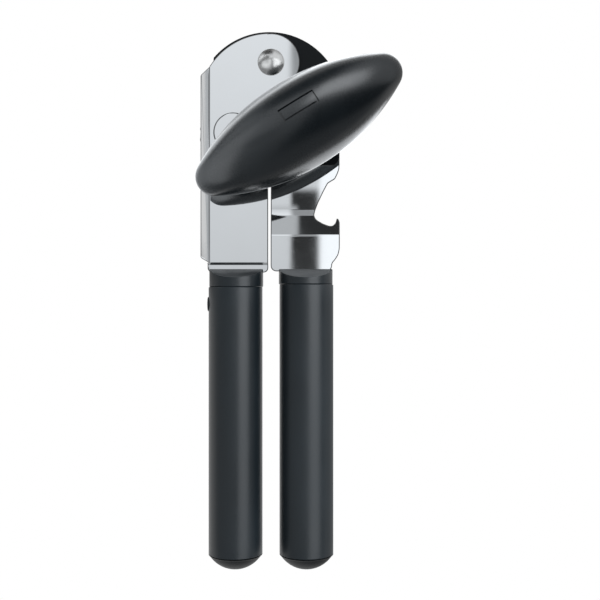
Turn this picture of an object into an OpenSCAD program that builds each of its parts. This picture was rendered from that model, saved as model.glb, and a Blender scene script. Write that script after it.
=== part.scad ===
// Manual can opener: two steel lever plates on one pivot, a geared feed wheel
// and cutting wheel behind them, a long oval turning knob in front, and two
// round soft handles. It lies on its back with the knob up (+Z) and its head
// towards +Y. The origin is the knob shaft's axis at the resting plane.

/* [Build] */
// Node to draw, or all of them

/* [Handles] */
// Diameter of each soft handle grip
grip_d = 18.9; // [16:0.1:22]
// Diameter of the hard core inside a grip
core_d = 14.4; // [12:0.1:16]
// X position of the left handle's axis
left_x = -22.3; // [-24:0.1:-20]
// X position of the right handle's axis
right_x = 2.6; // [1:0.1:4]
// Y position where the collars start
collar_top = -47.5; // [-52:0.1:-44]
// Length of the left collar
left_collar_len = 6.3; // [4:0.1:9]
// Length of the right collar
right_collar_len = 5.4; // [4:0.1:9]
// Y position where the end plugs start
plug_y = -147.3; // [-160:0.1:-130]
// Height of a domed end plug beyond the grip
plug_dome = 5.4; // [3:0.1:8]
// Drop of the scoop on a collar's face
scoop_drop = 3.1; // [1:0.1:5]

/* [Lever plates] */
// Thickness of both steel lever plates
plate_t = 1.4; // [1:0.1:2]
// Thickness of the plastic guard between the plates
guard_t = 1.2; // [0.8:0.1:2]
// Gap between the front plate and the guard
plate_gap = 0.3; // [0.2:0.05:0.6]
// Width of the tangs inside the handles
tang_w = 11; // [8:0.5:13]
// Length of the tangs inside the handles
tang_len = 42; // [25:1:60]
// Radius of the front plate's round head
head_r = 25.2; // [22:0.1:28]
// Depth of the round boss pressed out of the front plate
boss_rise = 0.5; // [0.2:0.1:0.8]

/* [Drive and cutter] */
// Distance between the knob shaft and the cutter axle along X
axle_dx = 23.05; // [20:0.05:26]
// Height of the cutter axle above the knob shaft along Y
axle_dy = 0.3; // [-1:0.1:1]
// Teeth on each of the two equal gears
gear_teeth = 18; // [14:2:24]
// Clearance between the flanks of two meshed teeth
gear_play = 0.44; // [0.1:0.01:0.6]
// Diameter of the cutting wheel
cutter_d = 25; // [20:0.5:26]
// Diameter of the toothed feed wheel
feed_d = 22; // [18:0.5:24]
// Teeth around the feed wheel
feed_teeth = 30; // [18:1:40]
// Diameter of the knob shaft
shaft_d = 6.4; // [5:0.1:8]
// Radial running clearance
run_gap = 0.05; // [0.02:0.01:0.1]

/* [Knob] */
// Length of the knob
knob_len = 78.8; // [60:0.2:84]
// Width of the knob
knob_w = 30.4; // [24:0.2:36]
// Angle of the knob's long axis from +X at rest
knob_turn = 31.7; // [0:0.1:90]
// Height of the knob's widest line above the front plate
rim_height = 15.9; // [12:0.1:22]
// Height of the knob's dome above its widest line
dome_height = 12.6; // [8:0.1:16]
// Depth of the knob's underside below its widest line
under_depth = 8.5; // [5:0.1:11]
// Thickness of the knob's soft cover
cover_t = 1.8; // [1:0.1:3]
// Length of the plain inset badge
badge_len = 12; // [8:0.5:16]
// Width of the plain inset badge
badge_w = 3.4; // [2:0.1:5]

/* [Hidden] */
$fn = 96;
eps = 0.01;
big = 400;
// Heights of the layers above the resting plane, worked up from the handles
axis_z = grip_d / 2;
tang_z = axis_z - plate_t / 2;
rear_z = tang_z - plate_gap - guard_t;
guard_z = rear_z + plate_t;
front_z = tang_z + plate_t;
face_z = front_z + plate_t;
gear_top = rear_z - 0.4;
gear_t = 2.2;
gear_z = gear_top - gear_t;
feed_z = 2;
disc_z = 0.8;
disc_t = 0.8;
nut_z = 0.35;
// Pivot rivet
pivot_x = -9.8;
pivot_y = 24.8;
pivot_r = 2.5;
rivet_head_r = 4.7;
rivet_dome = 1.9;
// Front plate outline
head_x = -10.1;
head_y = 9.75;
bend_x = -31.45;
front_right = -10.8;
pivot_arc_r = 10.05;
neck_r = 7;
neck_x = front_right + neck_r;
neck_y = pivot_y - sqrt(pow(pivot_arc_r + neck_r, 2) - pow(neck_x - pivot_x, 2));
boss_r = 6.9;
step_y = -45.4;
step_run = 1.2;
foot_y = -48.7;
foot_left = -32.1;
flange_run = 3.3;
flange_drop = 3;
flange_top = 21;
flange_low = -43.4;
// Rear plate outline
rear_left = -9.95;
rear_right = 14.3;
rear_head_r = 25;
rear_bend_y = -27.7;
rear_bend_run = 8;
clear_r = 20.3;
guard_r = 25.8;
guard_right = 14.2;
guard_low = -11;
// Gears
axle_gap = sqrt(pow(axle_dx, 2) + pow(axle_dy, 2));
mesh_turn = atan2(axle_dy, -axle_dx);
gear_module = axle_gap / gear_teeth;
pitch_r = axle_gap / 2;
tip_r = pitch_r + 0.5 * gear_module;
root_r = pitch_r - 1.1 * gear_module;
tooth_pitch_w = PI * gear_module / 2 - gear_play;
flank_turn = 20;
feed_bite = 0.9;
hub_r = 6.2;
axle_r = 3;
bush_r = 4.2;
// Knob
rim_z = face_z + rim_height;
crest_z = rim_z + dome_height;
under_z = rim_z - under_depth;
knob_hub_r = 8;
knob_foot_z = face_z - 0.3;
end_r = 6.6;
half_w = knob_w / 2;
half_len = knob_len / 2;
side_r = (pow(half_len - end_r, 2) + pow(half_w, 2) - pow(end_r, 2)) / (2 * (half_w - end_r));
side_y = half_w - side_r;
meet_x = (half_len - end_r) * side_r / (side_r - end_r);
barrel_w = half_w + 0.7;
barrel_len = half_len + 3.2;
barrel_r = (pow(barrel_w, 2) + pow(dome_height, 2)) / (2 * dome_height);
barrel_R = (pow(barrel_len, 2) + pow(dome_height, 2)) / (2 * dome_height);
barrel_M = barrel_R - barrel_r;
badge_u = 1.9;
badge_v = 3.4;
badge_tilt = asin(badge_v / barrel_r);
badge_z = crest_z - barrel_R + sqrt(pow(barrel_M + sqrt(pow(barrel_r, 2) - pow(badge_v, 2)), 2)
    - pow(badge_u, 2));

// ---- Shared shapes ----

// A cylinder along Y that starts at top_y and runs towards the handle ends
module rod_y(x, top_y, len, r) {
    translate([x, top_y, axis_z]) rotate([90, 0, 0]) cylinder(h = len, r = r);
}

// A disc or ring standing on z
module ring(x, y, z, h, r_out, r_in = 0) {
    translate([x, y, z]) difference() {
        cylinder(h = h, r = r_out);
        if (r_in > 0) translate([0, 0, -1]) cylinder(h = h + 2, r = r_in);
    }
}

// A flat strip bent in the YZ plane, wide along X
module bent_strip(points, x_low, x_high) {
    translate([x_low, 0, 0]) rotate([90, 0, 90]) linear_extrude(x_high - x_low) polygon(points);
}

// Side profile of a plate that runs at z_head and joggles to z_tang
module joggled(z_head, z_tang, bend_at, run, top_y, low_y) {
    bent_strip([
        [top_y, z_head], [top_y, z_head + plate_t],
        [bend_at, z_head + plate_t], [bend_at - run, z_tang + plate_t],
        [low_y, z_tang + plate_t], [low_y, z_tang],
        [bend_at - run, z_tang], [bend_at, z_head]
    ], -60, 40);
}

// A square with rounded lower corners, in the plate plane
module rounded_foot(x_low, x_high, y_low, y_high, r) {
    translate([x_low, y_low + r]) square([x_high - x_low, y_high - y_low - r]);
    translate([x_low + r, y_low]) square([x_high - x_low - 2 * r, y_high - y_low]);
    for (x = [x_low + r, x_high - r]) translate([x, y_low + r]) circle(r = r);
}

// A gear blank with straight-sided teeth, one tooth pointing along +X
module gear_shape(turn) {
    rotate(turn) {
        circle(r = root_r);
        for (i = [0 : gear_teeth - 1]) rotate(i * 360 / gear_teeth) tooth_shape();
    }
}

module tooth_shape() {
    low = tooth_pitch_w / 2 + (pitch_r - root_r + 0.4) * tan(flank_turn);
    high = tooth_pitch_w / 2 - (tip_r - pitch_r) * tan(flank_turn);
    polygon([[root_r - 0.4, -low], [tip_r, -high], [tip_r, high], [root_r - 0.4, low]]);
}

// The flatted section of the knob shaft
module flatted(z, h, r) {
    translate([0, 0, z]) intersection() {
        cylinder(h = h, r = r);
        translate([-r, -0.78 * r, 0]) cube([2 * r, 1.56 * r, h]);
    }
}

// Knob outline at its widest line, moved in by inset
module knob_plan(inset) {
    intersection() {
        translate([0, side_y]) circle(r = side_r - inset);
        translate([0, -side_y]) circle(r = side_r - inset);
        square([2 * (meet_x - inset * (meet_x - half_len + end_r) / end_r), 2 * half_w], center = true);
    }
    for (s = [-1, 1]) translate([s * (half_len - end_r), 0]) circle(r = end_r - inset + 0.05);
}

// Barrel-shaped solid, moved in by inset, with its crest at height z
module barrel(inset, z) {
    translate([0, 0, z - barrel_R]) rotate([90, 0, 0]) rotate_extrude() {
        intersection() {
            union() {
                translate([barrel_M, 0]) circle(r = barrel_r - inset);
                translate([0, -barrel_r + inset]) square([barrel_M, 2 * (barrel_r - inset)]);
            }
            translate([0, -big]) square([big, 2 * big]);
        }
    }
}

// Solid body of the knob, moved in by inset, cut flat at height low
module knob_body(inset, low) {
    rotate(knob_turn) {
        intersection() {
            translate([0, 0, rim_z]) linear_extrude(dome_height + 1) knob_plan(inset);
            barrel(inset, crest_z);
        }
        intersection() {
            translate([0, 0, low]) linear_extrude(rim_z - low) knob_plan(inset);
            translate([0, 0, 2 * rim_z]) mirror([0, 0, 1]) barrel(inset, crest_z);
        }
    }
}

// Place children on the knob's dome at the badge
module at_badge() {
    rotate(knob_turn) translate([badge_u, badge_v, badge_z]) rotate([-badge_tilt, 0, 0]) children();
}

// Tang space in a handle, clear of the tang by gap
module tang_slot(x, top_y, gap) {
    w = tang_w + 2 * gap;
    translate([x - w / 2, foot_y - tang_len - gap, tang_z]) cube([w, tang_len + gap + 5, plate_t]);
}

// Positions of the two cross pins along a handle
module at_tang_pins(x) {
    for (y = [foot_y - 0.3 * tang_len, foot_y - 0.82 * tang_len]) translate([x, y, axis_z]) children();
}

// ---- Left lever ----

module front_outline() {
    intersection() {
        translate([head_x, head_y]) circle(r = head_r);
        translate([bend_x, 0]) square([front_right - bend_x, 40]);
    }
    translate([bend_x, step_y]) square([front_right - bend_x, head_y - step_y]);
    translate([pivot_x, pivot_y]) circle(r = pivot_arc_r);
    difference() {
        polygon([
            [front_right - eps, neck_y], [neck_x, neck_y], [pivot_x, pivot_y],
            [front_right - eps, pivot_y]
        ]);
        translate([neck_x, neck_y]) circle(r = neck_r);
    }
    rounded_foot(foot_left, front_right, foot_y, step_y, 1.6);
    translate([left_x - tang_w / 2, foot_y - tang_len]) square([tang_w, tang_len + 2]);
}

module front_flange() {
    t_x = plate_t * flange_drop / sqrt(pow(flange_run, 2) + pow(flange_drop, 2));
    t_z = plate_t * flange_run / sqrt(pow(flange_run, 2) + pow(flange_drop, 2));
    difference() {
        translate([0, flange_top + 3, 0]) rotate([90, 0, 0]) linear_extrude(flange_top + 3 - step_y) polygon([
            [bend_x + eps, face_z], [bend_x - flange_run, face_z - flange_drop],
            [bend_x - flange_run + t_x, face_z - flange_drop - t_z],
            [bend_x + 0.6, front_z], [bend_x + 1.2, front_z], [bend_x + 1.2, face_z]
        ]);
        translate([bend_x, flange_top + 2.6, -1]) rotate(41) translate([-20, 0, 0]) cube([20, 20, 30]);
        translate([bend_x - 0.6, step_y, -1]) rotate(142) translate([0, 0, 0]) cube([20, 20, 30]);
    }
}

module front_plate() {
    color([0.84, 0.85, 0.86]) difference() {
        union() {
            intersection() {
                linear_extrude(40) front_outline();
                joggled(front_z, tang_z, step_y, step_run, 60, -200);
            }
            front_flange();
            translate([-axle_dx, axle_dy, face_z - eps]) cylinder(h = boss_rise + eps, r = boss_r);
        }
        translate([-axle_dx, axle_dy, front_z - eps]) cylinder(h = boss_rise + eps, r = boss_r - 0.4);
        translate([pivot_x, pivot_y, 0]) cylinder(h = 40, r = pivot_r);
        at_tang_pins(left_x) cylinder(h = 40, r = 1.6, center = true);
    }
}

module pivot_rivet() {
    cap_r = (pow(rivet_head_r, 2) + pow(rivet_dome, 2)) / (2 * rivet_dome);
    color([0.86, 0.87, 0.88]) translate([pivot_x, pivot_y, 0]) {
        translate([0, 0, rear_z - 1.5]) cylinder(h = face_z - rear_z + 2, r = pivot_r);
        intersection() {
            translate([0, 0, face_z + rivet_dome - cap_r]) sphere(r = cap_r);
            translate([0, 0, face_z]) cylinder(h = rivet_dome, r = rivet_head_r);
        }
        translate([0, 0, rear_z - 2.1]) cylinder(h = 1.1, r = pivot_r + 1.7);
    }
}

module pivot_shim() {
    color([0.9, 0.9, 0.86]) ring(pivot_x, pivot_y, guard_z + guard_t + 0.1, plate_gap - 0.1, 7, pivot_r);
}

module pivot_washer() {
    color([0.7, 0.71, 0.72]) ring(pivot_x, pivot_y, rear_z - 1, 0.85, 6, pivot_r);
}

module collar(x, len, side) {
    color([0.08, 0.08, 0.085]) difference() {
        rod_y(x + side * 0.25, collar_top, len, grip_d / 2);
        tang_slot(x, collar_top, 0);
        translate([x - 12, foot_y, tang_z]) cube([24, 5, plate_t]);
        for (s = [0, 1]) translate([x, collar_top, axis_z]) mirror([0, 0, s])
            translate([0, 0, plate_t / 2 + 0.4]) rotate([-90 + atan((axis_z - 1) / scoop_drop), 0, 0])
            translate([-15, 0, 0]) cube([30, 8, 20]);
    }
}

module left_collar() {
    collar(left_x, left_collar_len, 1);
}

module handle_core(x, len) {
    top = collar_top - len;
    color([0.16, 0.16, 0.17]) difference() {
        rod_y(x, top, top - plug_y, core_d / 2);
        tang_slot(x, top, 0);
        at_tang_pins(x) cylinder(h = core_d - 2, r = 1.6, center = true);
        rod_y(x, plug_y + 10, 20, 4.5);
    }
}

module left_core() {
    handle_core(left_x, left_collar_len);
}

module handle_grip(x, len) {
    top = collar_top - len;
    difference() {
        rod_y(x, top, top - plug_y, grip_d / 2);
        rod_y(x, top + 1, top - plug_y + 2, core_d / 2);
    }
}

module left_grip() {
    color([0.1, 0.1, 0.105]) difference() {
        handle_grip(left_x, left_collar_len);
        translate([left_x - grip_d / 2, -59.8, axis_z]) rotate([0, 90, 0]) cylinder(h = 4, r = 2.5, center = true);
    }
}

module left_grip_stud() {
    color([0.13, 0.13, 0.135]) difference() {
        translate([left_x - grip_d / 2 - 0.3, -59.8, axis_z]) rotate([0, 90, 0]) cylinder(h = 2.2, r = 2.5);
        rod_y(left_x, -50, 20, core_d / 2);
    }
}

module end_plug(x) {
    cap_r = (pow(grip_d / 2, 2) + pow(plug_dome, 2)) / (2 * plug_dome);
    color([0.09, 0.09, 0.095]) {
        intersection() {
            translate([x, plug_y - plug_dome + cap_r, axis_z]) sphere(r = cap_r);
            rod_y(x, plug_y, plug_dome, grip_d / 2);
        }
        rod_y(x, plug_y + 10, 10 + eps, 4.5);
    }
}

module left_end_plug() {
    end_plug(left_x);
}

module tang_pins(x) {
    color([0.72, 0.73, 0.74]) at_tang_pins(x) cylinder(h = core_d - 2, r = 1.6, center = true);
}

module left_tang_pins() {
    tang_pins(left_x);
}

module cutter_axle() {
    color([0.76, 0.77, 0.78]) translate([-axle_dx, axle_dy, 0]) {
        cylinder(h = gear_top + 0.2, r = axle_r);
        translate([0, 0, gear_top + 0.2]) cylinder(h = front_z + boss_rise - gear_top - 0.2, r = hub_r);
    }
}

module axle_ring() {
    color([0.7, 0.71, 0.72]) ring(-axle_dx, axle_dy, 0, disc_z - 0.15, 5, axle_r);
}

// ---- Cutter ----

module cutter_bush() {
    color([0.72, 0.6, 0.35]) {
        ring(-axle_dx, axle_dy, disc_z, gear_top - disc_z, bush_r, axle_r + run_gap);
        ring(-axle_dx, axle_dy, disc_z + disc_t, gear_z - disc_z - disc_t, hub_r, bush_r - eps);
    }
}

module cutter_gear() {
    color([0.66, 0.67, 0.68]) translate([-axle_dx, axle_dy, gear_z]) difference() {
        linear_extrude(gear_t) gear_shape(mesh_turn + 180 + 180 / gear_teeth);
        translate([0, 0, -1]) cylinder(h = gear_t + 2, r = bush_r);
    }
}

module cutting_wheel() {
    edge = cutter_d / 2;
    color([0.85, 0.86, 0.87]) translate([-axle_dx, axle_dy, 0]) rotate_extrude() polygon([
        [bush_r, disc_z], [edge - 2, disc_z], [edge, disc_z + disc_t - 0.1],
        [edge, disc_z + disc_t], [bush_r, disc_z + disc_t]
    ]);
}

// ---- Right lever ----

module rear_outline() {
    intersection() {
        translate([head_x - 0.3, head_y + 0.3]) circle(r = rear_head_r);
        union() {
            translate([pivot_x, pivot_y]) circle(r = clear_r);
            translate([rear_left, 0]) square([40, 40]);
        }
    }
    difference() {
        union() {
            translate([rear_left, -46]) square([rear_right - rear_left, head_y + 46]);
            rounded_foot(rear_left, rear_right - 2.7, foot_y + 0.4, -46 + eps, 2);
        }
        bottle_notch();
        polygon([
            [rear_right + 1, -40.4], [rear_right, -40.4], [13.85, -42.5], [12.7, -44.3],
            [11.6, -45.5], [11.6, -50], [rear_right + 1, -50]
        ]);
    }
    translate([right_x - tang_w / 2, foot_y - tang_len]) square([tang_w, tang_len + 3]);
}

// The bottle opener notch, open to the right, with its hooked lip below
module bottle_notch() {
    polygon([
        [rear_right + 5, -10.4], [rear_right, -10.4], [14.2, -12.2], [13.6, -13.9], [12.7, -15.7],
        [11.2, -16.6], [10.2, -17.2], [8.6, -20.2], [6.8, -24], [5.8, -26.6], [5.35, -28.4],
        [5.8, -29.6], [6.5, -30.3], [8.55, -31.5], [10.6, -32.25], [11.8, -32.25], [12.8, -31.3],
        [13.15, -30.2], [13.3, -29.5], [14, -29.9], [rear_right + 0.05, -31.1], [rear_right + 5, -31.1]
    ]);
}

module rear_plate() {
    color([0.84, 0.85, 0.86]) difference() {
        intersection() {
            linear_extrude(40) rear_outline();
            joggled(rear_z, tang_z, rear_bend_y, rear_bend_run, 60, -200);
        }
        cylinder(h = 40, r = shaft_d / 2 + 1.4);
        translate([pivot_x, pivot_y, 0]) cylinder(h = 40, r = pivot_r + run_gap);
        at_guard_pins() cylinder(h = 40, r = 1.2);
        at_tang_pins(right_x) cylinder(h = 40, r = 1.6, center = true);
    }
}

module guard_plate() {
    color([0.07, 0.07, 0.075]) difference() {
        translate([0, 0, guard_z]) linear_extrude(guard_t) {
            intersection() {
                translate([head_x - 0.3, head_y + 0.3]) circle(r = guard_r);
                union() {
                    translate([pivot_x, pivot_y]) circle(r = clear_r);
                    translate([rear_left, 0]) square([guard_right - rear_left, 40]);
                }
            }
            rounded_foot(rear_left, guard_right, guard_low, head_y, 3);
        }
        cylinder(h = 40, r = shaft_d / 2 + 1.4);
        translate([pivot_x, pivot_y, 0]) cylinder(h = 40, r = pivot_r + run_gap);
        at_guard_pins() cylinder(h = plate_t + 0.9, r = 1.2);
    }
}

module at_guard_pins() {
    for (p = [[9.5, 22], [-17, 27.5], [10.5, -7.5]]) translate([p[0], p[1], rear_z]) children();
}

module guard_pins() {
    color([0.7, 0.71, 0.72]) at_guard_pins() cylinder(h = plate_t + 0.9, r = 1.2);
}

module shaft_bush() {
    color([0.72, 0.6, 0.35]) {
        ring(0, 0, rear_z - 0.15, guard_z + guard_t - rear_z + 0.15, shaft_d / 2 + 1.4, shaft_d / 2 + run_gap);
        ring(0, 0, guard_z + guard_t, 0.6, shaft_d / 2 + 2.6, shaft_d / 2 + run_gap);
    }
}

module right_collar() {
    collar(right_x, right_collar_len, -1);
}

module right_core() {
    handle_core(right_x, right_collar_len);
}

module right_grip() {
    color([0.1, 0.1, 0.105]) handle_grip(right_x, right_collar_len);
}

module right_end_plug() {
    end_plug(right_x);
}

module right_tang_pins() {
    tang_pins(right_x);
}

// ---- Knob and drive ----

module drive_shaft() {
    r = shaft_d / 2;
    color([0.76, 0.77, 0.78]) {
        cylinder(h = feed_z + eps, r = r - 0.9);
        flatted(feed_z, gear_top - feed_z, r);
        translate([0, 0, gear_top]) cylinder(h = knob_foot_z + 3 - gear_top, r = r);
        flatted(knob_foot_z + 3 - eps, 10 + eps, r);
    }
}

module shaft_nut() {
    color([0.72, 0.73, 0.74]) translate([0, 0, nut_z]) difference() {
        cylinder(h = feed_z - nut_z, r = 4.6, $fn = 6);
        translate([0, 0, -1]) cylinder(h = 5, r = shaft_d / 2 - 0.9);
    }
}

module feed_wheel() {
    r = feed_d / 2;
    color([0.62, 0.63, 0.64]) difference() {
        translate([0, 0, feed_z]) cylinder(h = gear_z - feed_z, r = r);
        for (i = [0 : feed_teeth - 1]) rotate(i * 360 / feed_teeth) translate([0, 0, feed_z - 1])
            linear_extrude(gear_z - feed_z + 2) polygon([[r - feed_bite, 0], [r + 0.4, -0.95], [r + 0.4, 0.95]]);
        flatted(feed_z - 1, gear_z - feed_z + 2, shaft_d / 2);
    }
}

module drive_gear() {
    color([0.66, 0.67, 0.68]) difference() {
        translate([0, 0, gear_z]) linear_extrude(gear_t) gear_shape(mesh_turn);
        flatted(gear_z - 1, gear_t + 2, shaft_d / 2);
    }
}

module thrust_washer() {
    color([0.7, 0.71, 0.72]) ring(0, 0, guard_z + guard_t + 0.7, knob_foot_z - guard_z - guard_t - 0.7,
        6.5, shaft_d / 2);
}

module knob_core() {
    color([0.14, 0.14, 0.15]) difference() {
        union() {
            knob_body(cover_t, under_z);
            translate([0, 0, knob_foot_z]) cylinder(h = under_z - knob_foot_z + 1, r = knob_hub_r);
        }
        translate([0, 0, knob_foot_z - 1]) cylinder(h = 4, r = shaft_d / 2);
        flatted(knob_foot_z + 2, 11, shaft_d / 2);
    }
}

module knob_cover() {
    color([0.09, 0.09, 0.095]) difference() {
        knob_body(0, under_z);
        knob_body(cover_t, under_z - 1);
        at_badge() translate([0, 0, -1]) linear_extrude(4)
            square([badge_len + 0.5, badge_w + 0.5], center = true);
    }
}

module knob_badge() {
    color([0.11, 0.11, 0.115]) at_badge() translate([0, 0, -0.95]) linear_extrude(0.85)
        square([badge_len, badge_w], center = true);
}

front_plate();
rear_plate();
guard_plate();
guard_pins();
pivot_rivet();
pivot_shim();
pivot_washer();
left_collar();
left_core();
left_grip();
left_end_plug();
left_tang_pins();
left_grip_stud();
right_collar();
right_core();
right_grip();
right_end_plug();
right_tang_pins();
drive_shaft();
shaft_bush();
thrust_washer();
drive_gear();
feed_wheel();
shaft_nut();
knob_core();
knob_cover();
knob_badge();
cutter_axle();
cutter_bush();
cutter_gear();
cutting_wheel();
axle_ring();
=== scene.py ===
from math import asin, atan2, cos, degrees, hypot, pi, radians, sin, sqrt

import bmesh
import bpy
from mathutils import Matrix, Vector


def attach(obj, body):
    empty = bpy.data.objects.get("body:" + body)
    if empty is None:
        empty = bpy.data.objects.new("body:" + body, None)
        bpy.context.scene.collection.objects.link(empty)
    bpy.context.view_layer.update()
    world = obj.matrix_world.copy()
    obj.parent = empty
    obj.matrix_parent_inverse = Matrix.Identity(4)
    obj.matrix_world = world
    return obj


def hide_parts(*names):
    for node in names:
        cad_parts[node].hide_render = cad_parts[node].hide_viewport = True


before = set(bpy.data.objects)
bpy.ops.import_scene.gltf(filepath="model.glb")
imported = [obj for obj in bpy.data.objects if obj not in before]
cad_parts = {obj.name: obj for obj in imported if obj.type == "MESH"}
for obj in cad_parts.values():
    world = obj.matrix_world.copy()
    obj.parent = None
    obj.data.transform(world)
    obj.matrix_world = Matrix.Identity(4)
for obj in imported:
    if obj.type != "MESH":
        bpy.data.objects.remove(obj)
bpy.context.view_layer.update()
MM = 0.001
UP = Vector((0, 0, 1))

# ---- Sizes, in millimetres, as in the part's own frame ----
AXIS_Z = 9.45                       # height of the handles' axes
PLATE_T = 1.4                       # both steel lever plates
TANG_Z = AXIS_Z - PLATE_T / 2       # underside of both plates at the handles
REAR_Z = TANG_Z - 1.5               # underside of the rear plate's head
FRONT_Z = TANG_Z + PLATE_T          # underside of the front plate's head
FACE_Z = FRONT_Z + PLATE_T
GUARD_Z = REAR_Z + PLATE_T
GUARD_T = 1.2
PIVOT = (-9.8, 24.8)
CUTTER = (-23.05, 0.3)
# Axis, collar length, which way the collar sits off the axis, and body
HANDLES = {"left": (-22.3, 6.3, 1, "left_lever"), "right": (2.6, 5.4, -1, "right_lever")}
GRIP_R = 9.45
CORE_R = 7.2
COLLAR_TOP = -47.5
PLUG_Y = -147.3
PLUG_DOME = 5.4
SCOOP_DROP = 3.1
TANG_HALF = 5.5
TANG_END = -90.7
KNOB_TURN = radians(31.7)
KNOB_HALF_LEN = 39.4
KNOB_HALF_W = 15.2
KNOB_END_R = 6.6
RIM_Z = FACE_Z + 15.9
DOME = 12.6
UNDER = 8.5
BADGE_AT = (1.9, 3.4)
BADGE_SIZE = (12.0, 3.4)


# ---- Shader graphs ----

class Wire:
    """A socket's value, used in ordinary arithmetic."""

    def __init__(self, graph, socket):
        self.graph = graph
        self.socket = socket

    def __add__(self, other): return self.graph.math("ADD", self, other)
    def __radd__(self, other): return self.graph.math("ADD", other, self)
    def __sub__(self, other): return self.graph.math("SUBTRACT", self, other)
    def __rsub__(self, other): return self.graph.math("SUBTRACT", other, self)
    def __mul__(self, other): return self.graph.math("MULTIPLY", self, other)
    def __rmul__(self, other): return self.graph.math("MULTIPLY", other, self)
    def __truediv__(self, other): return self.graph.math("DIVIDE", self, other)
    def __rtruediv__(self, other): return self.graph.math("DIVIDE", other, self)


class Graph:
    """A node tree that is built by calls."""

    def __init__(self, tree):
        tree.nodes.clear()
        self.tree = tree

    def add(self, kind, settings=None, inputs=None, out=0):
        """A node with its settings and its sockets' values or links; gives one of its outputs"""
        node = self.tree.nodes.new(kind)
        for name, value in (settings or {}).items():
            setattr(node, name, value)
        for name, value in (inputs or {}).items():
            if isinstance(value, Wire):
                self.tree.links.new(value.socket, node.inputs[name])
            else:
                node.inputs[name].default_value = value
        return Wire(self, node.outputs[out]) if node.outputs else node

    def math(self, operation, a, b):
        return self.add("ShaderNodeMath", {"operation": operation}, {0: a, 1: b})

    def smooth(self, value, low, high, to_low=0.0, to_high=1.0):
        """value eased from to_low at low to to_high at high"""
        return self.add("ShaderNodeMapRange", {"interpolation_type": "SMOOTHSTEP"}, {
            "Value": value, "From Min": low, "From Max": high, "To Min": to_low, "To Max": to_high})

    def blend(self, factor, a, b):
        """colour a where factor is 0, b where it is 1"""
        return self.add("ShaderNodeMix", {"data_type": "RGBA"}, {"Factor": factor, 6: a, 7: b}, out=2)

    def split(self, vector):
        node = self.add("ShaderNodeSeparateXYZ", inputs={"Vector": vector}).socket.node
        return [Wire(self, socket) for socket in node.outputs]

    def place(self, scale=(1, 1, 1)):
        """Object coordinates in millimetres, stretched by scale"""
        coords = self.add("ShaderNodeTexCoord", out="Object")
        return self.add("ShaderNodeMapping", {"vector_type": "POINT"}, {
            "Vector": coords, "Scale": [s / MM for s in scale]})

    def noise(self, scale, detail, grain=1.0):
        """Cloudy noise with so many lumps to the millimetre along each axis"""
        return self.add("ShaderNodeTexNoise", inputs={
            "Vector": self.place(scale), "Scale": grain, "Detail": detail, "Roughness": 0.55})

    def bump(self, height, strength, depth):
        """Relief for the Normal socket, so many millimetres deep"""
        return self.add("ShaderNodeBump", inputs={
            "Height": height, "Strength": strength, "Distance": depth * MM})

    def finish(self, settings, **wires):
        """The surface shader, with its fixed settings and its varying inputs, and the output"""
        names = {"colour": "Base Color", "roughness": "Roughness", "normal": "Normal"}
        inputs = {**settings, **{names[k]: v for k, v in wires.items()}}
        shader = self.add("ShaderNodeBsdfPrincipled", inputs=inputs)
        self.add("ShaderNodeOutputMaterial", inputs={"Surface": shader})


def material(name):
    """A new material and its graph, to be built"""
    made = bpy.data.materials.new(name)
    made.use_nodes = True
    return made, Graph(made.node_tree)


def grey(level, tint=(1, 1, 1)):
    """A grey of that level, tinted, with its alpha"""
    return (level * tint[0], level * tint[1], level * tint[2], 1)


# ---- Materials ----

def rolled_steel():
    """Bright polished sheet with faint rolling lines, hairline scratches and soft smudges"""
    made, g = material("polished_steel")
    lines = g.noise((6, 0.12, 6), 2.0)
    smudge = g.noise((0.07, 0.07, 0.07), 3.0)
    hair = g.smooth(g.noise((0.4, 9, 9), 2.0), 0.66, 0.74)
    tone = g.blend(smudge, grey(0.79, (0.985, 0.995, 1.0)), grey(0.82, (0.985, 1.0, 1.01)))
    rough = 0.02 + 0.015 * g.smooth(smudge, 0.35, 0.7) + 0.03 * hair
    g.finish({"Metallic": 1.0}, colour=tone, roughness=rough,
             normal=g.bump(lines * 0.6 + hair * 0.4, 0.03, 0.006))
    return made


def plated_steel(name, level, rough, tint):
    """Turned metal, plated steel or bronze, a little dull, with turning marks"""
    made, g = material(name)
    cloud = g.noise((0.5, 0.5, 0.5), 4.0)
    marks = g.noise((1, 1, 9), 2.0)
    g.finish({"Metallic": 1.0},
             colour=g.blend(g.smooth(cloud, 0.3, 0.75), grey(level, tint), grey(level * 0.8, tint)),
             roughness=rough + 0.12 * cloud,
             normal=g.bump(marks, 0.15, 0.02))
    return made


def sheared_steel():
    """Stamped edge of the sheet: duller and darker than its faces"""
    made, g = material("sheared_steel")
    drag = g.noise((3, 3, 0.6), 3.0)
    g.finish({"Metallic": 1.0}, colour=g.blend(drag, grey(0.1), grey(0.22)),
             roughness=0.3 + 0.15 * drag, normal=g.bump(drag, 0.3, 0.02))
    return made


def cut_gear_steel():
    """Machined tooth steel with tool lines round its axis and an oily film"""
    made, g = material("gear_steel")
    film = g.noise((0.25, 0.25, 0.25), 4.0)
    tool = g.noise((2.5, 2.5, 14), 3.0)
    g.finish({"Metallic": 1.0},
             colour=g.blend(g.smooth(film, 0.35, 0.7), grey(0.5), grey(0.34, (1.0, 0.96, 0.9))),
             roughness=0.24 + 0.2 * film,
             normal=g.bump(tool, 0.25, 0.03))
    return made


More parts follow.
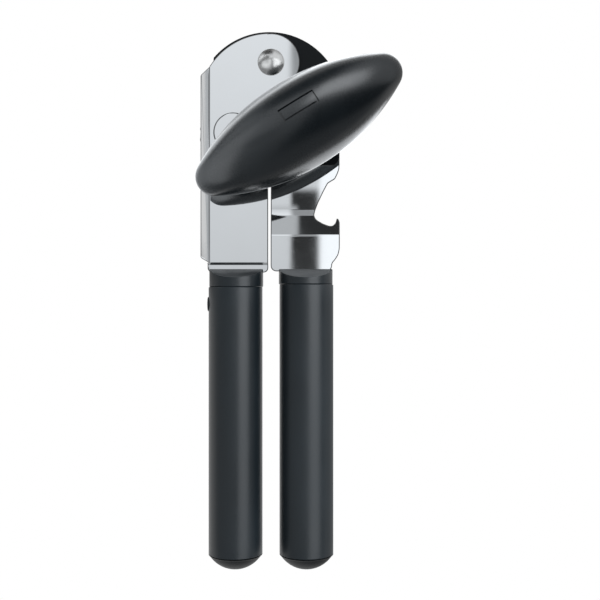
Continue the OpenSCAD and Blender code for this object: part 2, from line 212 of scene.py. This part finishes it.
def moulded(name, level, rough, grain, depth, tint=(0.72, 1.08, 1.35), specular=0.5):
    """Moulded black plastic or rubber: a fine spark-eroded grain, rubbed paler in places"""
    made, g = material(name)
    fine = g.noise((1, 1, 1), 2.0, grain)
    rub = g.noise((0.05, 0.03, 0.05), 4.0)
    colour = g.blend(g.smooth(rub, 0.35, 0.75), grey(level, tint), grey(level * 1.35, tint))
    g.finish({"Specular IOR Level": specular}, colour=colour,
             roughness=rough + 0.07 * g.smooth(rub, 0.3, 0.8) + 0.06 * (fine - 0.5),
             normal=g.bump(fine, 0.35, depth))
    return made


FINISH = {
    "polished_steel": rolled_steel(),
    "sheared_steel": sheared_steel(),
    "zinc_steel": plated_steel("zinc_steel", 0.6, 0.2, (1.0, 0.99, 0.97)),
    "gear_steel": cut_gear_steel(),
    "bronze": plated_steel("bronze", 0.62, 0.28, (1.0, 0.72, 0.4)),
    "black_plastic": moulded("black_plastic", 0.006, 0.42, 6.0, 0.015, specular=0.27),
    "gloss_collar": moulded("gloss_collar", 0.01, 0.3, 5.0, 0.01),
    "hard_core": moulded("hard_core", 0.02, 0.45, 4.0, 0.02),
    "soft_grip": moulded("soft_grip", 0.012, 0.33, 5.0, 0.015),
    "soft_knob": moulded("soft_knob", 0.006, 0.25, 5.0, 0.01),
    "white_nylon": moulded("white_nylon", 0.7, 0.4, 5.0, 0.01, (1, 1, 0.95)),
}


# ---- Making pieces ----

WELD = 0.0005                       # corners nearer than this are one
JOIN = 0.003                        # the same for the ends of an outline's lines and arcs
CUT_DIST = 0.0001                   # a cut passes through corners nearer than this
ROUNDED_FROM = 40.0                 # corners sharper than this angle are rounded


def settle(bm, name, body, finish, node, sharp=35.0, bevel=None, edge=None):
    """Turn a finished bmesh, in millimetres, into a piece that stands for the CAD node.
    sharp is the crease angle, 0 for flat faces; bevel is (width, segments) for its corners,
    which take the finish edge if one is given."""
    bmesh.ops.remove_doubles(bm, verts=bm.verts, dist=WELD)
    bmesh.ops.scale(bm, vec=(MM, MM, MM), verts=bm.verts)
    bmesh.ops.recalc_face_normals(bm, faces=bm.faces)
    mesh = bpy.data.meshes.new(name)
    bm.to_mesh(mesh)
    bm.free()
    mesh.materials.append(FINISH[finish])
    for face in mesh.polygons:
        face.use_smooth = sharp > 0
    mesh.set_sharp_from_angle(angle=radians(sharp))
    piece = bpy.data.objects.new(name, mesh)
    bpy.context.collection.objects.link(piece)
    if bevel:
        width, segments = bevel
        round_off = piece.modifiers.new("soft_edges", "BEVEL")
        round_off.width = width * MM
        round_off.segments = segments
        round_off.limit_method = "ANGLE"
        round_off.angle_limit = radians(ROUNDED_FROM)
        round_off.use_clamp_overlap = not edge
        round_off.harden_normals = sharp > 0
        if edge:
            mesh.materials.append(FINISH[edge])
            round_off.material = 1
    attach(piece, body)
    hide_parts(node)
    return piece


def turned(profile, axis, centre, steps=96, into=None):
    """Spin a half profile of (radius, height) corners into a closed round solid, in a new
    mesh or into a given one. axis is X, Y or Z; heights run along it from centre."""
    bm = into or bmesh.new()
    side = {"X": (0, 1, 0), "Y": (1, 0, 0), "Z": (1, 0, 0)}[axis]
    along = Vector([float(letter == axis) for letter in "XYZ"])
    ring = [bm.verts.new(Vector(centre) + Vector(side) * r + along * h) for r, h in profile]
    edges = [bm.edges.new(pair) for pair in zip(ring, ring[1:])]
    if profile[0][0] > 0:
        edges.append(bm.edges.new((ring[-1], ring[0])))
    bmesh.ops.spin(bm, geom=ring + edges, cent=centre, axis=along, dvec=(0, 0, 0),
                   angle=2 * pi, steps=steps, use_merge=True)
    return bm


def bow(centre, radius, start, stop, count):
    """Corners along an arc, in a (radius, height) profile or in plan; angles in degrees"""
    turn = [radians(start + (stop - start) * i / count) for i in range(count + 1)]
    return [(centre[0] + radius * cos(t), centre[1] + radius * sin(t)) for t in turn]


class Sketch:
    """An outline drawn edge by edge in the plate's plane and then filled"""

    def __init__(self, x, y, z):
        self.bm = bmesh.new()
        self.first = self.last = self.bm.verts.new((x, y, z))

    def to(self, *corners):
        for x, y in corners:
            made = bmesh.ops.extrude_vert_indiv(self.bm, verts=[self.last])
            self.last = made["verts"][0]
            self.last.co.x = x
            self.last.co.y = y
        return self

    def arc(self, centre, turn, steps):
        made = bmesh.ops.spin(self.bm, geom=[self.last], cent=(*centre, 0), axis=UP, dvec=(0, 0, 0),
                              angle=radians(turn), steps=steps)
        self.last = [part for part in made["geom_last"] if isinstance(part, bmesh.types.BMVert)][0]
        return self

    def close(self):
        self.bm.edges.new((self.last, self.first))
        bmesh.ops.remove_doubles(self.bm, verts=self.bm.verts, dist=JOIN)
        bmesh.ops.contextual_create(self.bm, geom=list(self.bm.verts) + list(self.bm.edges))
        return self.bm


def soften(bm, at, radius, segments):
    """Round the outline's corners that lie nearest to the given places"""
    corners = [min(bm.verts, key=lambda v: hypot(v.co.x - x, v.co.y - y)) for x, y in at]
    bmesh.ops.bevel(bm, geom=corners, offset=radius, offset_type="OFFSET", affect="VERTICES",
                    segments=segments, profile=0.5, material=-1, clamp_overlap=True)


def tang_outline(x, foot):
    """Corners of a plate's narrow tang, which runs down inside the handle, left side first"""
    return [(x - TANG_HALF, foot), (x - TANG_HALF, TANG_END),
            (x + TANG_HALF, TANG_END), (x + TANG_HALF, foot)]


def crease(bm, axis, places):
    """Cut lines right across the sheet, so that it can bend there"""
    normal = (1, 0, 0) if axis == 0 else (0, 1, 0)
    for place in places:
        spot = (place, 0, 0) if axis == 0 else (0, place, 0)
        bmesh.ops.bisect_plane(bm, geom=list(bm.verts) + list(bm.edges) + list(bm.faces),
                               plane_co=spot, plane_no=normal, dist=CUT_DIST)


def ramp(value, start, stop, radius):
    """0 before start and 1 after stop, straight between, with bends rounded over radius"""
    reach = stop - start
    def eased(x):
        if x < -radius:
            return 0.0
        return x if x > radius else (x + radius) ** 2 / (4 * radius)
    return (eased(value - start) - eased(value - stop)) / reach


def spread(low, high, count):
    """Even places from low to high"""
    return [low + (high - low) * i / count for i in range(count + 1)]


def thicken(bm, thickness):
    """Give the sheet, whose face points up, its thickness below"""
    for face in bm.faces:
        if face.normal.z < 0:
            face.normal_flip()
    bmesh.ops.solidify(bm, geom=list(bm.faces), thickness=thickness)


# ---- Left lever ----

def front_plate():
    """The upper plate: round head, flanged left edge, step down to the foot, tang, and the
    round boss over the cutter"""
    head, head_r = (-10.1, 9.75), 25.2
    bend, right, arc_r, neck_r = -31.45, -10.8, 10.05, 7.0
    neck = (right + neck_r, PIVOT[1] - sqrt((arc_r + neck_r) ** 2 - (right + neck_r - PIVOT[0]) ** 2))
    tangent = degrees(atan2(PIVOT[1] - neck[1], PIVOT[0] - neck[0]))
    arc_end = degrees(atan2(sqrt(arc_r ** 2 - 1), right - PIVOT[0]))
    head_start = degrees(atan2(sqrt(head_r ** 2 - (right - head[0]) ** 2), right - head[0]))
    head_end = degrees(atan2(sqrt(head_r ** 2 - (bend - head[0]) ** 2), bend - head[0]))
    step, run, foot, foot_left = -45.35, 0.55, -48.7, -32.1
    flange_run, flange_drop, flange_top, flange_low = 3.3, 3.0, 21.0, -43.4
    tang_x = HANDLES["left"][0]
    s = Sketch(right, foot, FACE_Z).to((right, neck[1]))
    s.arc(neck, tangent - 180, 16).arc(PIVOT, arc_end - (tangent - 180), 48)
    s.to((right, head[1] + head_r * sin(radians(head_start)))).arc(head, head_end - head_start, 40)
    s.to((bend - flange_run, flange_top), (bend - flange_run, flange_low), (bend, step),
         (foot_left, step - 0.05), (foot_left, foot), *tang_outline(tang_x, foot))
    bm = s.close()
    soften(bm, [(foot_left, foot), (right, foot)], 1.6, 6)
    soften(bm, [(bend - flange_run, flange_top), (bend - flange_run, flange_low)], 0.5, 4)
    crease(bm, 0, spread(bend - 0.45, bend + 0.45, 8))
    crease(bm, 1, spread(step - 0.2, step + 0.2, 5) + spread(step - run - 0.2, step - run + 0.2, 5))
    for v in bm.verts:
        if v.co.y > step - 0.02:        # the flange ends where the step begins
            v.co.z -= flange_drop * ramp(bend - v.co.x, 0, flange_run, 0.45)
        v.co.z -= (FRONT_Z - TANG_Z) * ramp(step - v.co.y, 0, run, 0.2)
    thicken(bm, PLATE_T)
    boss_r, boss_rise, boss_root, shoulder_r = 6.9, 0.5, -0.6, 0.48
    boss = [(0, boss_root), (boss_r, boss_root)]
    boss += bow((boss_r - shoulder_r, boss_rise - shoulder_r), shoulder_r, 0, 90, 5) + [(0, boss_rise)]
    plate_faces = set(bm.faces)
    turned(boss, "Z", (*CUTTER, FACE_Z), into=bm)
    bm.normal_update()
    for face in set(bm.faces) - plate_faces:
        level = abs(face.normal.z) > 0.97
        face.material_index = 0 if level else 1
    return settle(bm, "front_plate_sheet", "left_lever", "polished_steel", "front_plate",
                  sharp=0, bevel=(0.3, 3), edge="sheared_steel")


def pivot_rivet():
    """Domed rivet with a flat bearing ring under its head and a plain tail"""
    head_r, dome, shank = 4.7, 1.9, 2.5
    ball = (head_r ** 2 + dome ** 2) / (2 * dome)
    edge = degrees(asin((head_r - 0.12) / ball))
    tail_z = REAR_Z - 2.1
    tail_r, tail_t = shank + 1.7, 1.1
    profile = [(0, tail_z), (tail_r - 0.3, tail_z), (tail_r, tail_z + 0.3), (tail_r, tail_z + tail_t),
               (shank, tail_z + tail_t), (shank, FACE_Z), (head_r - 0.1, FACE_Z), (head_r, FACE_Z + 0.12)]
    profile += bow((0, FACE_Z + dome - ball), ball, 90 - edge, 90, 16)[:-1] + [(0, FACE_Z + dome)]
    return settle(turned(profile, "Z", (*PIVOT, 0)), "pivot_rivet_head", "left_lever", "zinc_steel",
                  "pivot_rivet")


# ---- Right lever ----

REAR_LEFT = -9.95                    # left edge of the rear plate and of the guard


def draw_rear_head(sketch, head_r, right):
    """The head that the rear plate and the guard share: from the right edge round the head,
    and back down along an arc about the pivot, which clears the cutter, to the left edge"""
    head, clear = (-10.4, 10.05), 20.3
    apart = Vector(PIVOT) - Vector(head)
    toward = (head_r ** 2 - clear ** 2 + apart.length_squared) / (2 * apart.length)
    aside = sqrt(head_r ** 2 - toward ** 2)
    unit = apart.normalized()
    meet = Vector(head) + unit * toward + Vector((-unit.y, unit.x)) * aside
    start = degrees(asin(-sqrt(head_r ** 2 - (right - head[0]) ** 2) / head_r))
    turn = degrees(atan2(meet.y - head[1], meet.x - head[0])) - start
    begin = degrees(atan2(meet.y - PIVOT[1], meet.x - PIVOT[0]))
    end = 270 - degrees(asin((PIVOT[0] - REAR_LEFT) / clear))
    sketch.to((right, head[1] + head_r * sin(radians(start))))
    sketch.arc(head, turn, 60).arc(PIVOT, end - begin, 40)


def rear_plate():
    """The lower plate: round head, bottle notch with a hooked lip, joggle, foot and tang"""
    right, foot, head_r = 14.3, -48.3, 25.0
    foot_right = right - 2.7
    shoulder = [(foot_right, -45.5), (12.7, -44.3), (13.85, -42.5), (right, -40.4)]
    tang_x = HANDLES["right"][0]
    notch = [(14.35, -31.1), (14.0, -29.9), (13.3, -29.5), (13.15, -30.2), (12.8, -31.3), (11.8, -32.25),
             (10.6, -32.25), (8.55, -31.5), (6.5, -30.3), (5.8, -29.6), (5.35, -28.4), (5.8, -26.6),
             (6.8, -24.0), (8.6, -20.2), (10.2, -17.2), (11.2, -16.6), (12.7, -15.7), (13.6, -13.9),
             (14.2, -12.2), (right, -10.4)]
    s = Sketch(foot_right, foot, REAR_Z + PLATE_T).to(*shoulder, *notch)
    draw_rear_head(s, head_r, right)
    s.to((REAR_LEFT, foot), *tang_outline(tang_x, foot))
    bm = s.close()
    soften(bm, [(REAR_LEFT, foot), (foot_right, foot)], 2.0, 6)
    soften(bm, notch[1:-1], 0.35, 4)
    soften(bm, shoulder, 0.7, 4)
    bend, run, rise, upper, lower = -27.7, 8.0, TANG_Z - REAR_Z, 1.3, 0.45
    crease(bm, 1, spread(bend - upper, bend + upper, 12))
    crease(bm, 1, spread(bend - run - lower, bend - run + lower, 8))
    for v in bm.verts:
        fall = bend - v.co.y
        v.co.z += rise * ramp(fall, 0, run, upper if fall < run / 2 else lower)
    thicken(bm, PLATE_T)
    return settle(bm, "rear_plate_sheet", "right_lever", "polished_steel", "rear_plate",
                  sharp=0, bevel=(0.32, 3), edge="sheared_steel")


def guard_plate():
    """The black moulded guard between the plates"""
    right, low, head_r = 14.2, -11.0, 25.8
    s = Sketch(right, low, GUARD_Z + GUARD_T)
    draw_rear_head(s, head_r, right)
    bm = s.to((REAR_LEFT, low)).close()
    soften(bm, [(right, low), (REAR_LEFT, low)], 3.0, 8)
    thicken(bm, GUARD_T)
    return settle(bm, "guard_sheet", "right_lever", "black_plastic", "guard_plate", bevel=(0.2, 3))


# ---- Handles ----

HANDLE_STEPS = 128                   # facets round a handle


def collar(side):
    """Hard collar with a scooped face on both flats, where the plate goes in"""
    x, length, lean, body = HANDLES[side]
    shift, lip, seam = 0.25, 0.35, 0.25
    profile = [(0, 0), (GRIP_R - lip, 0)] + bow((GRIP_R - lip, -lip), lip, 90, 0, 4)[1:]
    profile += [(GRIP_R, -length + seam), (GRIP_R - seam, -length), (0, -length)]
    bm = turned(profile, "Y", (x + lean * shift, COLLAR_TOP, AXIS_Z), HANDLE_STEPS)
    slope = atan2(AXIS_Z - 1, SCOOP_DROP)
    for up in (1, -1):
        facing = Vector((0, sin(slope), up * cos(slope)))
        cut = bmesh.ops.bisect_plane(
            bm, geom=list(bm.verts) + list(bm.edges) + list(bm.faces), clear_outer=True,
            plane_co=(x, COLLAR_TOP, AXIS_Z + up * (PLATE_T / 2 + 0.4)), plane_no=facing, dist=CUT_DIST)
        rim = [e for e in cut["geom_cut"] if isinstance(e, bmesh.types.BMEdge)]
        bmesh.ops.holes_fill(bm, edges=rim, sides=0)
    return settle(bm, side + "_collar_ring", body, "gloss_collar", side + "_collar", bevel=(0.22, 3))


def grip(side):
    """Soft round sleeve with rolled-in ends"""
    x, length, _, body = HANDLES[side]
    top, roll = COLLAR_TOP - length, 0.3
    profile = [(CORE_R, 0), (GRIP_R - roll, 0)] + bow((GRIP_R - roll, -roll), roll, 90, 0, 4)[1:]
    profile += [(GRIP_R, y - top) for y in spread(top - 6, PLUG_Y + 6, 12)]
    profile += bow((GRIP_R - roll, PLUG_Y - top + roll), roll, 0, -90, 4) + [(CORE_R, PLUG_Y - top)]
    bm = turned(profile, "Y", (x, top, AXIS_Z), HANDLE_STEPS)
    return settle(bm, side + "_grip_sleeve", body, "soft_grip", side + "_grip")


def end_plug(side):
    """Domed cap with a crisp seam to the sleeve and a stem inside it"""
    x, _, _, body = HANDLES[side]
    ball = (GRIP_R ** 2 + PLUG_DOME ** 2) / (2 * PLUG_DOME)
    edge = degrees(asin((GRIP_R - 0.1) / ball))
    profile = [(0, 10), (4.2, 10), (4.5, 9.7), (4.5, 0), (GRIP_R - 0.3, 0), (GRIP_R, -0.25)]
    dome = bow((0, -PLUG_DOME + ball), ball, -90 + edge, -90, 24)[:-1]
    profile += [p for p in dome if p[1] < -0.3] + [(0, -PLUG_DOME)]
    bm = turned(profile, "Y", (x, PLUG_Y, AXIS_Z), HANDLE_STEPS)
    return settle(bm, side + "_end_cap", body, "black_plastic", side + "_end_plug")


def grip_stud():
    """Small flat stud on the left sleeve's outer side"""
    x = HANDLES["left"][0]
    stud_y, radius, length, proud = -59.8, 2.5, 2.0, 0.3
    profile = [(0, length), (radius - 0.1, length), (radius, length - 0.1), (radius, 0.15),
               (radius - 0.15, 0), (0, 0)]
    bm = turned(profile, "X", (x - GRIP_R - proud, stud_y, AXIS_Z), 48)
    return settle(bm, "grip_side_stud", "left_lever", "soft_grip", "left_grip_stud")


# ---- Knob ----

# Radii of the outline's long sides, of the dome across it and of its ridge along it
SIDE_R = ((KNOB_HALF_LEN - KNOB_END_R) ** 2 + KNOB_HALF_W ** 2 - KNOB_END_R ** 2) / (
    2 * (KNOB_HALF_W - KNOB_END_R))
DOME_R = ((KNOB_HALF_W + 0.7) ** 2 + DOME ** 2) / (2 * DOME)
SPAN_R = ((KNOB_HALF_LEN + 3.2) ** 2 + DOME ** 2) / (2 * DOME)


def reach_in_plan(angle):
    """Distance from the knob's axis to its outline in a direction in plan"""
    across, along = abs(sin(angle)), abs(cos(angle))
    end = KNOB_HALF_LEN - KNOB_END_R
    meet = end * SIDE_R / (SIDE_R - KNOB_END_R)
    drop = SIDE_R - KNOB_HALF_W
    side = -drop * across + sqrt(SIDE_R ** 2 - (drop * along) ** 2)
    if side * along <= meet:
        return side
    return end * along + sqrt(KNOB_END_R ** 2 - (end * across) ** 2)


def dome_height(u, v):
    """Height of the knob's dome over its widest line"""
    ridge = SPAN_R - DOME_R + sqrt(max(DOME_R ** 2 - v * v, 0.0))
    return DOME - SPAN_R + sqrt(max(ridge ** 2 - u * u, 0.0))


def knob_form():
    """The knob's outer form as a smooth closed mesh, long along X, at its real height"""
    bm = bmesh.new()
    bmesh.ops.create_uvsphere(bm, u_segments=144, v_segments=96, radius=1.0)
    for vert in bm.verts:
        part = min(1.0, hypot(vert.co.x, vert.co.y))
        aim = atan2(KNOB_HALF_W * vert.co.y, KNOB_HALF_LEN * vert.co.x)
        reach = part * reach_in_plan(aim)
        u, v = reach * cos(aim), reach * sin(aim)
        roll = max(0.0, 1 - part ** 14) ** 0.5
        high = dome_height(u, v) * roll
        if vert.co.z < 0:
            high = -high / (1 + (high / UNDER) ** 6) ** (1 / 6)
        vert.co = (u, v, RIM_Z + high)
    return bm


def knob():
    """Soft oval cover with its plain inset badge"""
    bm = knob_form()
    (u, v), (long, wide) = BADGE_AT, BADGE_SIZE
    groove, depth, near = 0.55, 0.6, 3.0
    low, high = (u - long / 2, v - wide / 2), (u + long / 2, v + wide / 2)

    def inside(face, margin):
        c = face.calc_center_median()
        return (face.normal.z > 0 and low[0] - margin < c.x < high[0] + margin
                and low[1] - margin < c.y < high[1] + margin)

    for axis in (0, 1):
        way = Vector([float(i == axis) for i in range(3)])
        for place in (low[axis] - groove, low[axis], high[axis], high[axis] + groove):
            faces = [f for f in bm.faces if inside(f, near)]
            patch = list({v for f in faces for v in f.verts}) + list({e for f in faces for e in f.edges})
            bmesh.ops.bisect_plane(bm, geom=patch + faces, plane_co=way * place, plane_no=way,
                                   dist=CUT_DIST)
    bm.normal_update()
    pocket = [f for f in bm.faces if inside(f, groove)]
    plate = [f for f in pocket if inside(f, 0)]
    badge, gap = bmesh.new(), 0.04
    lift = {}
    for face in plate:
        for vert in face.verts:
            if vert not in lift:
                lift[vert] = badge.verts.new(vert.co - UP * gap)
    for face in plate:
        badge.faces.new([lift[vert] for vert in face.verts])
    bmesh.ops.solidify(badge, geom=list(badge.faces), thickness=depth + 0.2)
    sunk = bmesh.ops.extrude_face_region(bm, geom=pocket)
    bmesh.ops.translate(bm, vec=-UP * depth,
                        verts=[p for p in sunk["geom"] if isinstance(p, bmesh.types.BMVert)])
    bmesh.ops.delete(bm, geom=[f for f in pocket if f.is_valid], context="FACES")
    turn = Matrix.Rotation(KNOB_TURN, 3, "Z")
    for mesh in (bm, badge):
        bmesh.ops.rotate(mesh, cent=(0, 0, 0), matrix=turn, verts=mesh.verts)
    return (settle(bm, "knob_soft_cover", "drive", "soft_knob", "knob_cover", sharp=50),
            settle(badge, "knob_inset_badge", "drive", "soft_knob", "knob_badge", sharp=50))


def knob_hub():
    """Hard hub under the knob, flared into its underside"""
    foot, top = FACE_Z - 0.3, RIM_Z - UNDER + 1.5
    profile = [(3.3, foot), (7.7, foot), (8.0, foot + 0.3), (8.0, top - 4.5)]
    profile += bow((11.0, top - 4.5), 3.0, 180, 120, 6)[1:] + [(9.5, top), (3.3, top)]
    return settle(turned(profile, "Z", (0, 0, 0)), "knob_hard_hub", "drive", "hard_core", "knob_core")


# ---- Parts carried over with finished edges ----

def finished(node, body, finish, width):
    """A copy of a machined CAD part with its sharp edges broken"""
    bm = bmesh.new()
    bm.from_mesh(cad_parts[node].data)
    bmesh.ops.scale(bm, vec=(1 / MM, 1 / MM, 1 / MM), verts=bm.verts)
    bmesh.ops.remove_doubles(bm, verts=bm.verts, dist=0.001)
    bmesh.ops.dissolve_limit(bm, angle_limit=radians(1.0), verts=bm.verts, edges=bm.edges,
                             delimit={"NORMAL"})
    return settle(bm, node + "_finished", body, finish, node, sharp=30, bevel=(width, 2))


# Node, body, finish and width of the broken edges
CARRIED = [
    ("guard_pins", "right_lever", "zinc_steel", 0.12),
    ("pivot_shim", "left_lever", "white_nylon", 0.05),
    ("pivot_washer", "left_lever", "zinc_steel", 0.15),
    ("cutter_axle", "left_lever", "zinc_steel", 0.2),
    ("axle_ring", "left_lever", "zinc_steel", 0.12),
    ("shaft_bush", "right_lever", "bronze", 0.1),
    ("thrust_washer", "drive", "zinc_steel", 0.15),
    ("drive_shaft", "drive", "zinc_steel", 0.2),
    ("drive_gear", "drive", "gear_steel", 0.12),
    ("feed_wheel", "drive", "gear_steel", 0.1),
    ("shaft_nut", "drive", "zinc_steel", 0.2),
    ("cutter_bush", "cutter", "bronze", 0.1),
    ("cutter_gear", "cutter", "gear_steel", 0.12),
    ("cutting_wheel", "cutter", "polished_steel", 0.05),
]

front_plate()
rivet = pivot_rivet()
rear_plate()
guard_plate()
handle_pieces = [make(side) for side in HANDLES for make in (collar, grip)]
for side in HANDLES:
    end_plug(side)
grip_stud()
knob_pieces = knob()
knob_hub()
for name, body, finish, width in CARRIED:
    finished(name, body, finish, width)
for name in ("left_core", "right_core"):
    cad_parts[name].data.materials[0] = FINISH["hard_core"]
for name in ("left_tang_pins", "right_tang_pins"):
    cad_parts[name].data.materials[0] = FINISH["zinc_steel"]


# ---- Studio ----

# Soft panels and flags round the object, by slope of direction (X/Z, Y/Z):
# low x, high x, feather x, low y, high y, feather y, brightness
PANELS = [
    (-9.0, -0.55, 0.12, 0.7, 9.0, 0.2, 1.9),
    (-99.0, -0.24, 0.05, 0.02, 1.2, 0.02, 0.3),
    (0.1, 9.0, 0.07, -9.0, 0.42, 0.06, 0.04),
    (-9.0, 9.0, 3.0, -99.0, -0.7, 0.3, 0.45),
    (0.0205, 0.085, 0.003, -0.12, 0.33, 0.03, 1.5),
    (-0.0095, 0.0195, 0.003, 0.02, 0.117, 0.005, 0.04),
    (-0.0095, 0.0205, 0.004, 0.13, 0.42, 0.01, 0.42),
    (-0.031, -0.003, 0.003, 0.075, 0.099, 0.004, 0.74),
    (-0.12, -0.003, 0.003, 0.41, 0.62, 0.02, 0.66),
    (-0.003, 0.2, 0.004, 0.43, 0.56, 0.008, 0.04),
]
SKY = 0.85                           # brightness straight overhead
SKY_SLOPE = 0.4                      # the sky grows brighter or darker along Y up to this slope
HORIZON = 0.62
LIGHT_LEVEL = 0.8                    # strength of the sky as a light
FLAG = 0.05                          # brightness of the dark flag, low beyond the head
COOL = (0.965, 1.0, 1.035)           # tint of the studio light


def studio():
    """A sky of soft panels as a light and in reflections; the camera itself sees plain white"""
    scene = bpy.context.scene
    scene.view_settings.view_transform = "Standard"
    world = bpy.data.worlds.new("soft_studio")
    world.use_nodes = True
    scene.world = world
    g = Graph(world.node_tree)
    x, y, z = g.split(g.add("ShaderNodeTexCoord", out="Generated"))
    up = g.math("MAXIMUM", z, 0.02)
    across, along = x / up, y / up
    rising = g.math("MINIMUM", g.math("MAXIMUM", along, 0.0), SKY_SLOPE)
    falling = g.math("MAXIMUM", g.math("MINIMUM", along, 0.0), -SKY_SLOPE)
    level = SKY + rising + 0.7 * falling
    for x0, x1, fx, y0, y1, fy, bright in PANELS:
        mask = (g.smooth(across, x0 - fx, x0 + fx) * g.smooth(across, x1 - fx, x1 + fx, 1, 0)
                * g.smooth(along, y0 - fy, y0 + fy) * g.smooth(along, y1 - fy, y1 + fy, 1, 0))
        level = level * (1 - mask) + bright * mask
    horizon = g.smooth(z, 0.05, 0.2, 1, 0)
    level = level * (1 - horizon) + HORIZON * horizon
    lean = x / g.math("MAXIMUM", y, 0.05)
    flag = g.smooth(along, 1.45, 1.8) * g.smooth(lean, -0.95, -0.6) * g.smooth(lean, 0.0, 0.25, 1, 0)
    level = level * (1 - flag) + FLAG * flag
    seen = g.add("ShaderNodeLightPath", out="Is Camera Ray")
    light = g.add("ShaderNodeBackground", inputs={"Color": g.blend(seen, (*COOL, 1), grey(1)),
                                                 "Strength": level * LIGHT_LEVEL * (1 - seen) + seen})
    g.add("ShaderNodeOutputWorld", inputs={"Surface": light})


def softbox(name, low, high, height, brightness, pieces, up=False):
    """A level soft box between two corners in plan, facing down unless told otherwise, which
    lights only the given pieces"""
    data = bpy.data.lights.new(name, "AREA")
    data.shape = "RECTANGLE"
    data.size = (high[0] - low[0]) * MM
    data.size_y = (high[1] - low[1]) * MM
    data.color = COOL
    data.energy = brightness * pi * data.size * data.size_y
    lamp = bpy.data.objects.new(name, data)
    bpy.context.collection.objects.link(lamp)
    lamp.location = ((low[0] + high[0]) / 2 * MM, (low[1] + high[1]) / 2 * MM, height * MM)
    lamp.rotation_euler.x = pi if up else 0
    lamp.visible_camera = False
    lit = bpy.data.collections.new(name + "_lit")
    for piece in pieces:
        lit.objects.link(piece)
    lamp.light_linking.receiver_collection = lit


def floor():
    """Pale table, shaded beside the flange and the right handle"""
    bm = bmesh.new()
    bmesh.ops.create_grid(bm, x_segments=1, y_segments=1, size=6.0)
    mesh = bpy.data.meshes.new("pale_floor")
    bm.to_mesh(mesh)
    bm.free()
    made, g = material("pale_floor")
    x, y, _ = g.split(g.place())
    right = g.smooth(x, 5, 20) * g.smooth(y, -60, -40, 1, 0) * g.smooth(x, 120, 300, 1, 0)
    left = g.smooth(x, -25, -15, 1, 0) * g.smooth(y, -60, -48)
    plain, shade = 0.85, 0.4
    level = (plain - shade * right) * (1 - left) + left * g.smooth(y, -40, 80, 0.4, 0.75)
    seen = g.add("ShaderNodeLightPath", out="Is Camera Ray")
    shader = g.add("ShaderNodeEmission", inputs={"Strength": level * (1 - seen) + seen})
    g.add("ShaderNodeOutputMaterial", inputs={"Surface": shader})
    mesh.materials.append(made)
    piece = bpy.data.objects.new("pale_floor", mesh)
    bpy.context.collection.objects.link(piece)


LENS = 56.64
EYE = (0.35, -58.35, FACE_Z + 330)   # over the middle of the opener


def camera():
    """Looks straight down"""
    data = bpy.data.cameras.new("camera")
    data.lens = LENS
    eye = bpy.data.objects.new("camera", data)
    bpy.context.collection.objects.link(eye)
    eye.location = Vector(EYE) * MM
    bpy.context.scene.camera = eye


studio()
softbox("knob_box", (-50, 310), (450, 725), 540, 5.1, knob_pieces)
softbox("knob_side_box", (-600, -250), (-130, 150), 190, 1.9, knob_pieces)
softbox("knob_fill_box", (-130, 25), (-45, 200), 190, 1.0, knob_pieces)
softbox("knob_low_side_box", (-900, -500), (-250, 100), 75, 2.2, knob_pieces)
softbox("knob_bounce", (-130, 38), (75, 80), 2, 3.2, knob_pieces, up=True)
softbox("knob_plate_bounce", (-45, -12), (20, 38), 14.5, 1.0, knob_pieces, up=True)
softbox("knob_side_bounce", (-500, -160), (-44, 38), 2, 2.8, knob_pieces, up=True)
softbox("knob_low_bounce", (-14, -92), (62, 0), 2, 2.9, knob_pieces, up=True)
softbox("handle_box", (60, -105), (500, 150), 320, 3.2, handle_pieces)
softbox("handle_end_box", (60, -420), (500, -105), 320, 1.9, handle_pieces)
softbox("rivet_left_box", (-260, -60), (-30, 90), 170, 0.7, [rivet])
softbox("rivet_box", (30, -40), (260, 110), 170, 1.7, [rivet])
floor()
camera()
